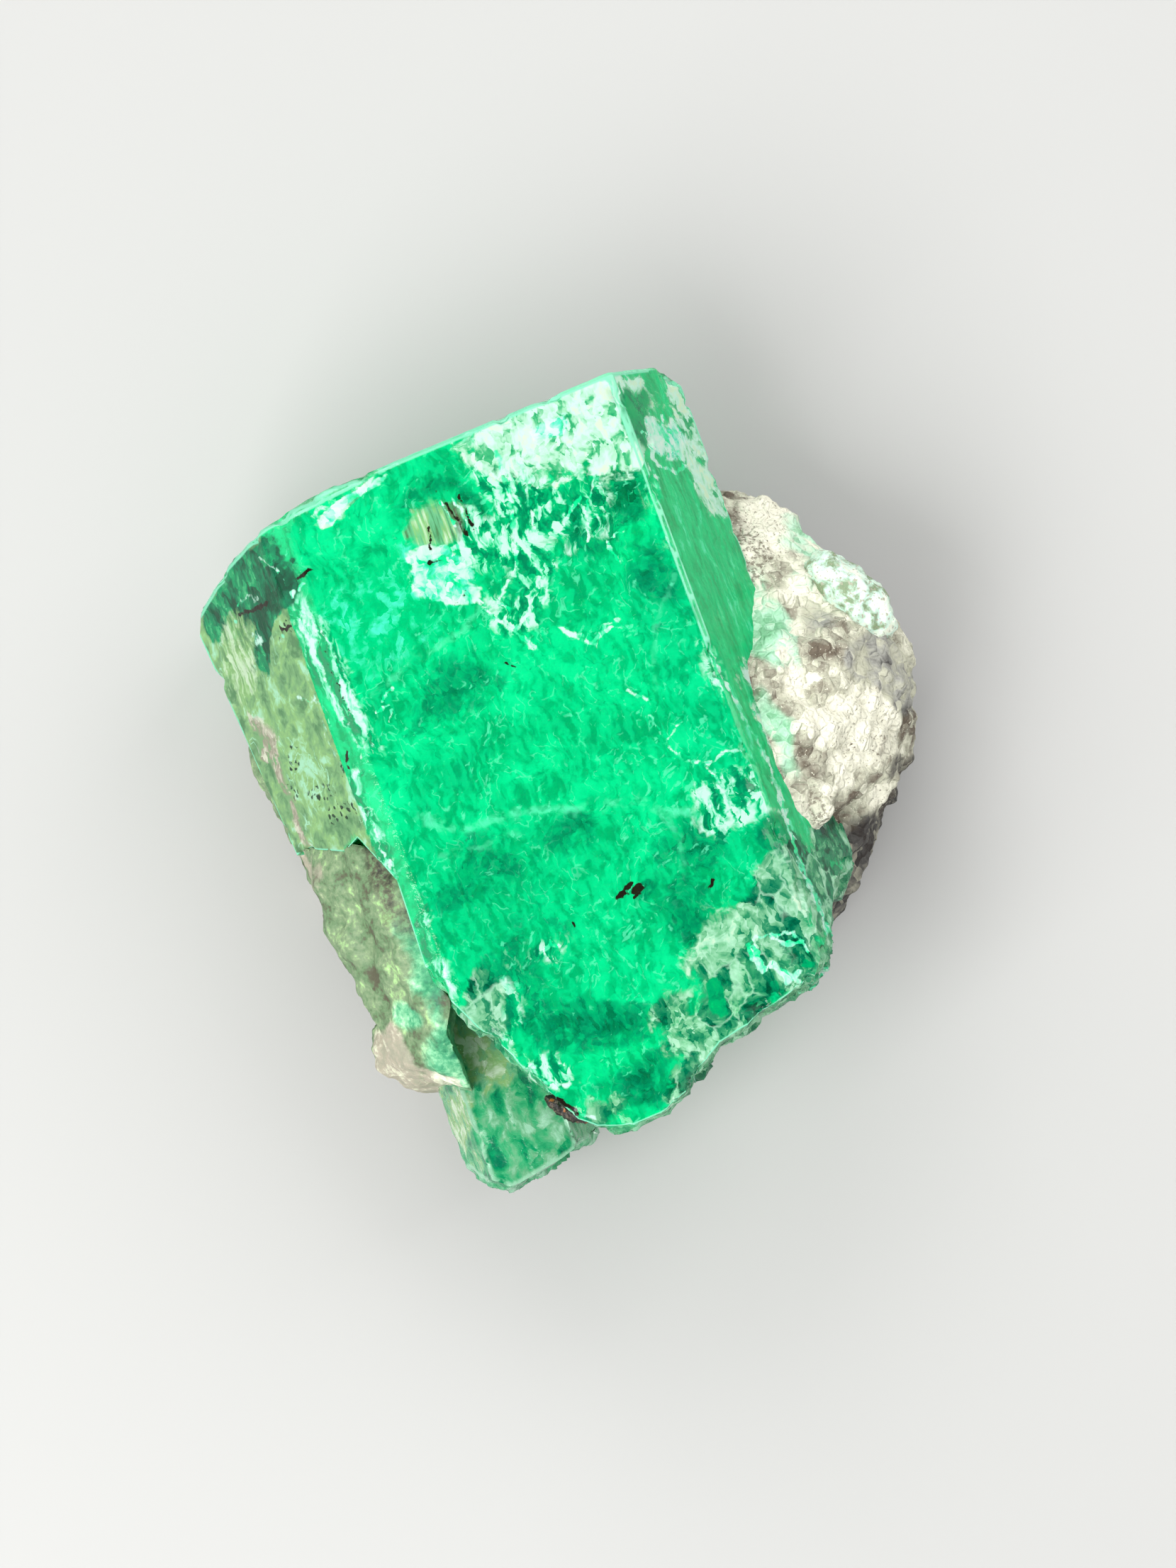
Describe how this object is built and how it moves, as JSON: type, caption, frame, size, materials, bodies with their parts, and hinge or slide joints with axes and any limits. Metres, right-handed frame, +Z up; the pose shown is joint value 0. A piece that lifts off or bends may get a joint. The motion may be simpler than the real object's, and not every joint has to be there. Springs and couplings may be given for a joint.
{
  "type": "emerald in matrix",
  "caption": "Stout hexagonal emerald crystal lying on its back face, with a broken end, a smaller crystal beside it and pale rock on its flanks.",
  "frame": {"origin": "centre of the bounding box's underside, on the surface that the specimen lies on", "axes": "+Y along the crystal's long axis towards its intact end, +Z up out of its broad front face, +X across it towards the cream rock"},
  "size_m": [0.0152, 0.0162, 0.0074],
  "materials": {
    "emerald": "included emerald, glassy on its faces, with veils and streaks inside",
    "pale_emerald": "paler, cloudier emerald",
    "calcite_rock": "cream to grey-brown granular rock, dull",
    "crust_rock": "grey-green crust with pinkish beige patches, dull",
    "pale_beryl": "waxy, mint-white",
    "shale": "black with rusty flecks"
  },
  "bodies": {
    "root": {"emerald_crystal": "emerald", "lower_crystal": "pale_emerald", "matrix_right": "calcite_rock", "matrix_left": "crust_rock", "beryl_grain": "pale_beryl", "shale_sliver": "shale"}
  },
  "joints": []
}
